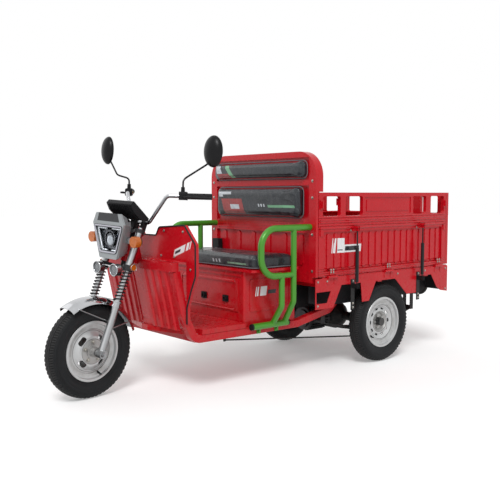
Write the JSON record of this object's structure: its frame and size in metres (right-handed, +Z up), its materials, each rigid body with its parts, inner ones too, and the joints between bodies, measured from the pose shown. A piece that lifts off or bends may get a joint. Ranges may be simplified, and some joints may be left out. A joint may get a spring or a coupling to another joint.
{
  "type": "electric cargo tricycle",
  "caption": "Three-wheeled electric cargo vehicle with a steered front wheel, open driver's seat and a drop-side bed with folding tailgate.",
  "frame": {"origin": "on the ground, under the middle of the overall length and width", "axes": "+X the vehicle's left, -Y straight ahead, +Z up"},
  "size_m": [1.108, 2.8576, 1.4536],
  "materials": {
    "red_paint": "gloss",
    "green_paint": "gloss",
    "black_paint": "satin",
    "silver_paint": "satin",
    "grey_shell": "gloss",
    "chrome": "polished",
    "cast": "matte",
    "alloy": "satin",
    "tyre": "matte",
    "black_plastic": "matte",
    "grip_rubber": "matte",
    "vinyl": "satin",
    "mirror": "polished",
    "clear_lens": "polished",
    "amber_lens": "gloss",
    "red_lens": "gloss"
  },
  "bodies": {
    "chassis": {"main_frame": "red_paint", "floor_pan": "red_paint", "leg_shield": "red_paint", "cowl": "red_paint", "seat_box": "red_paint", "sockets": "black_plastic", "guard_rail_left": "green_paint", "guard_rail_right": "green_paint", "headboard": "red_paint", "backrest_pad_lower": "vinyl", "backrest_pad_upper": "vinyl", "bed_floor": "red_paint", "skirt_left": "red_paint", "skirt_right": "red_paint", "splash_guards": "black_paint", "strut_brackets": "black_paint", "bed_hinges": "red_paint", "rear_axle": "black_paint", "motor": "alloy", "leaf_springs": "black_paint", "brake_gear": "black_paint", "battery_pack": "black_paint", "rear_bumper": "red_paint", "tail_lamps": "red_lens"},
    "steering": {"fork": "silver_paint", "fork_springs": "black_paint", "fork_yokes": "black_paint", "handlebar": "chrome", "grips": "grip_rubber", "bar_controls": "black_plastic", "mirrors": "black_plastic", "mirror_glass": "mirror", "nacelle": "grey_shell", "headlamp_unit": "chrome", "headlamp_lens": "clear_lens", "instrument_pod": "black_plastic", "front_signals": "amber_lens", "lamp_brackets": "black_paint", "spot_lamps": "chrome", "reflectors": "amber_lens", "front_fender": "chrome", "fender_stays": "silver_paint"},
    "front_wheel": {"front_tyre": "tyre", "front_rim": "silver_paint"},
    "rear_wheel_left": {"rear_tyre_left": "tyre", "rear_rim_left": "silver_paint", "brake_drum_left": "cast"},
    "rear_wheel_right": {"rear_tyre_right": "tyre", "rear_rim_right": "silver_paint", "brake_drum_right": "cast"},
    "drop_side_left": {"side_wall_left": "red_paint"},
    "drop_side_right": {"side_wall_right": "red_paint"},
    "tail_gate": {"tailgate": "red_paint"},
    "seat_lid": {"seat_pan": "red_paint", "seat_cushion": "vinyl"},
    "strut_tubes_left": {"strut_cylinders_left": "black_paint"},
    "strut_tubes_right": {"strut_cylinders_right": "black_paint"},
    "strut_stems_left": {"strut_rods_left": "chrome"},
    "strut_stems_right": {"strut_rods_right": "chrome"}
  },
  "joints": [
    {"name": "steer", "type": "hinge", "parent": "chassis", "child": "steering", "pos_m": [0, -1.12737, 0.24329], "axis": [0, 0.3633, 0.9317], "range_deg": [-47, 33]},
    {"name": "front_wheel_spin", "type": "hinge", "parent": "steering", "child": "front_wheel", "pos_m": [0.00561, -1.16991, 0.25988], "axis": [0.9925, 0.1135, -0.0443], "continuous": true},
    {"name": "rear_wheel_left_spin", "type": "hinge", "parent": "chassis", "child": "rear_wheel_left", "pos_m": [0.445, 0.72677, 0.26], "axis": [1, 0, 0], "continuous": true},
    {"name": "rear_wheel_right_spin", "type": "hinge", "parent": "chassis", "child": "rear_wheel_right", "pos_m": [-0.445, 0.72677, 0.26], "axis": [1, 0, 0], "continuous": true},
    {"name": "drop_side_left_hinge", "type": "hinge", "parent": "chassis", "child": "drop_side_left", "pos_m": [0.512, 0.72677, 0.6], "axis": [0, 1, 0], "range_deg": [0, 90]},
    {"name": "drop_side_right_hinge", "type": "hinge", "parent": "chassis", "child": "drop_side_right", "pos_m": [-0.512, 0.72677, 0.6], "axis": [0, -1, 0], "range_deg": [0, 90]},
    {"name": "tailgate_hinge", "type": "hinge", "parent": "chassis", "child": "tail_gate", "pos_m": [0, 1.42077, 0.6], "axis": [-1, 0, 0], "range_deg": [0, 150]},
    {"name": "seat_lid_hinge", "type": "hinge", "parent": "chassis", "child": "seat_lid", "pos_m": [0, -0.36323, 0.6555], "axis": [1, 0, 0], "range_deg": [0, 70]},
    {"name": "strut_tubes_left_pivot", "type": "hinge", "parent": "chassis", "child": "strut_tubes_left", "pos_m": [0.54, 0.72677, 0.53], "axis": [0, 1, 0], "range_deg": [0, 79]},
    {"name": "strut_tubes_right_pivot", "type": "hinge", "parent": "chassis", "child": "strut_tubes_right", "pos_m": [-0.54, 0.72677, 0.53], "axis": [0, -1, 0], "range_deg": [0, 79]},
    {"name": "strut_stems_left_slide", "type": "slide", "parent": "strut_tubes_left", "child": "strut_stems_left", "axis": [0, 0, 1], "range_m": [-0.0881, 0]},
    {"name": "strut_stems_right_slide", "type": "slide", "parent": "strut_tubes_right", "child": "strut_stems_right", "axis": [0, 0, 1], "range_m": [-0.0881, 0]}
  ],
  "couplings": [
    {"joint": "strut_tubes_left_pivot", "follows": "drop_side_left_hinge", "ratio": 0.8665},
    {"joint": "strut_stems_left_slide", "follows": "drop_side_left_hinge", "m_per_rad": -0.0548},
    {"joint": "strut_tubes_right_pivot", "follows": "drop_side_right_hinge", "ratio": 0.8665},
    {"joint": "strut_stems_right_slide", "follows": "drop_side_right_hinge", "m_per_rad": -0.0548}
  ]
}
